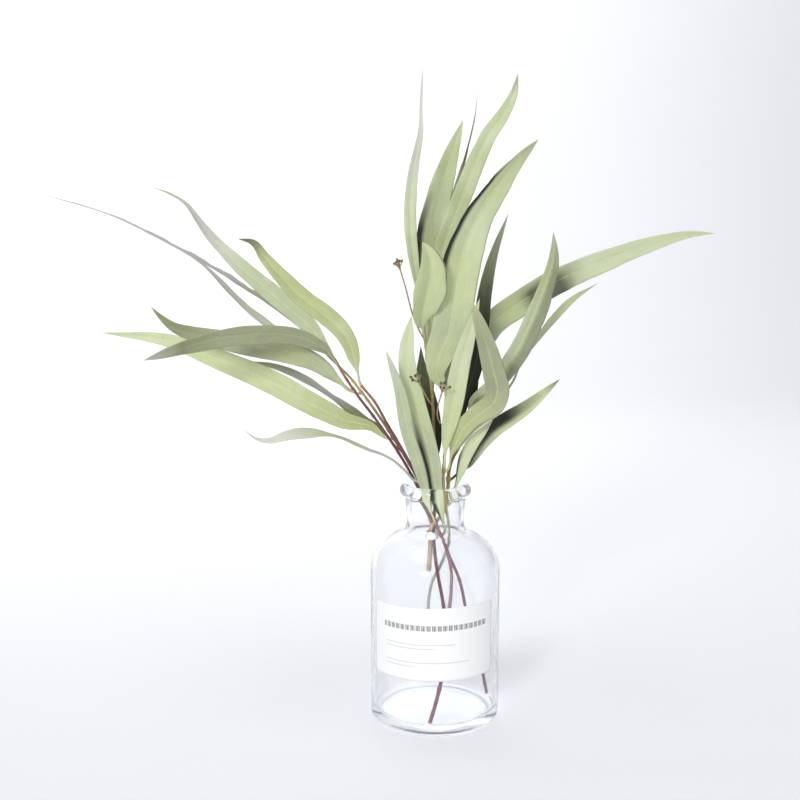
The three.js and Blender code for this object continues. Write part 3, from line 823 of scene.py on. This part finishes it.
def make_buds(name, path, count, spread, material, number):
    """A stalk that ends in an open head of small urn-shaped buds, each on its own thin foot."""
    rng = np.random.default_rng(number)
    path = np.array(path, float)
    marks = lengths(path)
    at = np.linspace(0, marks[-1], 40)
    line = flow(marks, path, at)
    forward = unit(line[-1] - line[-4])
    side = unit(np.cross(forward, OFF_FRONT))
    other = np.cross(forward, side)
    pieces = []
    knob = 0.42 + 0.3 * np.exp(-((at - marks[-1]) / 1.0) ** 2) + 0.06 * np.sin(at * 1.7)
    points, faces = twig(line, knob, 10)
    pieces.append((points, faces, 0.1, 1 - 0.6 * np.repeat(at / marks[-1], 10)))
    shape, shape_faces = turned(BUD_PROFILE, 12)
    shape = np.array(shape)
    for n in range(count):
        tilt = math.radians(spread * rng.uniform(0.7, 1.15)) * (n > 0)
        turn = 2 * math.pi * n / (count - 1) + rng.uniform(-0.3, 0.3)
        axis = (
            forward * math.cos(tilt)
            + side * math.sin(tilt) * math.cos(turn)
            + other * math.sin(tilt) * math.sin(turn)
        )
        reach = rng.uniform(2.4, 3.8)
        steps = np.linspace(0, 1, 8)[:, None]
        foot = line[-1] + reach * steps * (axis * (1 - 0.25 * steps) + forward * 0.25 * steps)
        points, faces = twig(foot, 0.24 + 0.1 * steps[:, 0] ** 3, 8)
        pieces.append((points, faces, 0.0, 0.35))
        axis = unit(foot[-1] - foot[-2])
        first = unit(np.cross(axis, OFF_FRONT))
        second = np.cross(axis, first)
        size = rng.uniform(0.5, 0.68)
        placed = foot[-1] - 0.2 * axis + size * (
            shape[:, :1] * first + shape[:, 1:2] * second + shape[:, 2:] * axis
        )
        pieces.append((placed, shape_faces, np.clip((shape[:, 2] - 2.6) / 1.2, 0, 1), 0.0))
    points, faces, cap, stalk = [], [], [], []
    for placed, its_faces, its_cap, its_stalk in pieces:
        faces.extend(tuple(len(points) + i for i in face) for face in its_faces)
        points.extend(map(tuple, placed))
        cap.extend(np.broadcast_to(its_cap, len(placed)))
        stalk.extend(np.broadcast_to(its_stalk, len(placed)))
    return make_piece(name + "_head", points, faces, material, {"cap": cap, "stalk": stalk})


# ---- bottle, label and tie --------------------------------------------------------------------------

def arc(centre_r, centre_z, radius, start, end, steps=10):
    """Points of a round corner, with its angles in degrees."""
    angles = np.radians(np.linspace(start, end, steps))
    return [(centre_r + radius * math.cos(a), centre_z + radius * math.sin(a)) for a in angles]


def bend(points, steps=12):
    """Points of a smooth bend from the first point to the last, pulled by those between."""
    made = []
    for t in np.linspace(0, 1, steps):
        layer = [np.array(p, float) for p in points]
        while len(layer) > 1:
            layer = [a * (1 - t) + b * t for a, b in zip(layer, layer[1:])]
        made.append(tuple(layer[0]))
    return made


def bottle_profile(high, wide):
    """The section of the glass from the middle of its underside, over the lip, to the middle
    of its floor. The underside is pushed up a trifle inside its foot ring."""
    heel = 4.0
    lip_r = 22.0
    lip = 4.0
    neck = 17.5
    wall = 3.0
    floor = 6.0
    shoulder = 93.0
    inner = wide - wall
    outline = bend([(0, 0.7), (20, 0.7), (30, 0.5), (33, 0.0)])
    outline += arc(wide - heel, heel, heel, -90, 0)
    outline += [(wide, z) for z in np.linspace(10, shoulder - 1, 8)]
    outline += bend([(wide, shoulder), (wide, 106), (32, 113), (22, 117)])
    outline += bend([(21.4, 117.3), (neck, 119), (neck, 125)])
    outline += arc(lip_r - lip, high - lip, lip, -78, 180, 22)
    outline += bend([(neck - wall, 138), (neck - wall, 124), (neck - wall, 124)], 4)
    outline += bend([(neck - wall, 123), (neck - wall, 117), (19, 115)])
    outline += bend([(19.6, 114.8), (29, 111), (inner, 104), (inner, shoulder)])
    outline += [(inner, z) for z in np.linspace(shoulder - 1, floor + heel + 1, 8)]
    outline += arc(inner - heel, floor + heel, heel, 0, -90)
    outline += bend([(inner - heel - 1, floor), (16, floor), (10, floor + 1.2), (0, floor + 1.2)])
    return outline


def make_bottle(material):
    low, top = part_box("bottle")
    wide = (top.x - low.x) / 2 / MM
    points, faces = turned(bottle_profile(top.z / MM, wide), 144)
    piece = make_piece("glass_bottle", points, faces, material)
    belongs(piece, "bottle")


def make_label(material):
    """A paper label bent round the bottle, stuck on with its right side a shade high."""
    low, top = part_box("label")
    inside_r = 40.15
    outside_r = 40.42
    middle_z = (low.z + top.z) / 2 / MM
    tall = (top.z - low.z) / MM
    left, right = -63.5, 55.5
    columns, rows, corner = 72, 30, 2.0
    wide = math.radians(right - left) * outside_r
    layers = []
    marks_x, marks_z = [], []
    for radius in (outside_r, inside_r):
        for i in range(columns + 1):
            for j in range(rows + 1):
                x = wide * (i / columns - 0.5)
                near = max(0.0, corner - (wide / 2 - abs(x)))
                short = corner - math.sqrt(max(0.0, corner ** 2 - near ** 2))
                z = (tall / 2 - short) * (2 * j / rows - 1)
                angle = math.radians(left) + (x + wide / 2) / outside_r
                lift = 0.02 * x
                curl = 0.12 * math.exp(-((wide / 2 - abs(x)) / 2.5) ** 2)
                reach = radius + curl
                layers.append((
                    reach * math.sin(angle), -reach * math.cos(angle), middle_z + z + lift,
                ))
                marks_x.append(x)
                marks_z.append(z)
    sheet = (columns + 1) * (rows + 1)
    faces = []

    def corner_of(layer, i, j):
        return layer * sheet + i * (rows + 1) + j

    for i in range(columns):
        for j in range(rows):
            for layer in (0, 1):
                faces.append((
                    corner_of(layer, i, j), corner_of(layer, i + 1, j),
                    corner_of(layer, i + 1, j + 1), corner_of(layer, i, j + 1),
                ))
    for i in range(columns):
        for j in (0, rows):
            faces.append((corner_of(0, i, j), corner_of(0, i + 1, j),
                          corner_of(1, i + 1, j), corner_of(1, i, j)))
    for j in range(rows):
        for i in (0, columns):
            faces.append((corner_of(0, i, j), corner_of(0, i, j + 1),
                          corner_of(1, i, j + 1), corner_of(1, i, j)))
    piece = make_piece("paper_label", layers, faces, material, {
        "label_x": marks_x, "label_z": marks_z,
    })
    belongs(piece, "label")


def make_tie(material):
    """Twine wound a few times round the cut stub and the stem beside it."""
    low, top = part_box("tie")
    centre = np.array([(a + b) / 2 / MM for a, b in zip(low, top)])
    size = np.array([(b - a) / 2 / MM for a, b in zip(low, top)]) + (0.2, 0.2, 1.4)
    turns = 6
    thread = 0.68
    count = 44 * turns
    angle = np.linspace(0, 2 * math.pi * turns, count)
    climb = np.linspace(-1, 1, count)
    path = np.stack([
        centre[0] + (size[0] - thread) * np.cos(angle),
        centre[1] + (size[1] - thread) * np.sin(angle),
        centre[2] + (size[2] - thread) * climb,
    ], axis=1)
    marks = lengths(path)
    forward = unit(np.gradient(path, marks, axis=0))
    side = unit(np.cross(forward, UPRIGHT))
    sides = 10
    rings = rings_round(path, forward, side, np.full((count, 1), thread), sides)
    twist = marks[:, None] / 1.6 + np.broadcast_to(np.arange(sides) / sides, rings.shape[:2])
    piece = make_piece("twine", rings.reshape(-1, 3), ring_faces(count, sides), material, {
        "twist": twist.ravel(),
    })
    belongs(piece, "tie")


# ---- the bunch --------------------------------------------------------------------------------------

def make_floor():
    """A pale sheet that lies flat under the bottle and sweeps up far behind it."""
    outline = [(-5.0, 0.0), (1.4, 0.0)] + [
        (1.4 + 0.9 * math.sin(a), 0.9 - 0.9 * math.cos(a)) for a in np.linspace(0.1, math.pi / 2, 14)
    ] + [(2.3, 4.0)]
    points = [(x, y, z) for x in (-6.0, 6.0) for y, z in outline]
    rows = len(outline)
    faces = [(n, n + 1, rows + n + 1, rows + n) for n in range(rows - 1)]
    floor = make_piece("floor", np.array(points) / MM, faces, backdrop_paper())


def build():
    set_camera()
    set_lights()
    make_floor()
    blades = {
        "leaf_green": leaf_finish("green_leaf", 0.5, 0.5),
        "leaf_dark": leaf_finish("dull_leaf", 0.25, 0.56),
        "leaf_grey": leaf_finish("grey_leaf", 0.2, 0.6),
    }
    barks = {
        "stem_red": bark_finish("red_bark", 0.12, 0.5),
        "stem_tan": bark_finish("tan_bark", 0.25, 0.6),
        "stem_grey": bark_finish("grey_bark", 0.2, 0.6),
    }
    stem_lines = {name: stem_line(name) for name in STEM_TONES}
    joints = {name: [] for name in STEM_TONES}
    for number, (name, (slot, tones, painted_shadows)) in enumerate(LEAVES.items()):
        section = leaf_sections(name)
        stem, share = nearest_stem(section["middle"][0], stem_lines)
        joints[stem].append(share)
        blade = make_leaf(
            name, section, stem_lines[stem], share, blades[slot], tones, painted_shadows, number + 1)
        belongs(blade, name)
    for number, (name, (slot, tones)) in enumerate(STEM_TONES.items()):
        stem = make_stem(name, stem_lines[name], joints[name], barks[slot], tones, number + 1)
        belongs(stem, name)
    bud_skin = bud_finish()
    for number, (name, (path, count, lean)) in enumerate(BUDS.items()):
        head = make_buds(name, path, count, lean, bud_skin, number + 40)
        belongs(head, name)
    make_bottle(glass_finish())
    make_label(label_finish())
    make_tie(cotton_finish())


build()
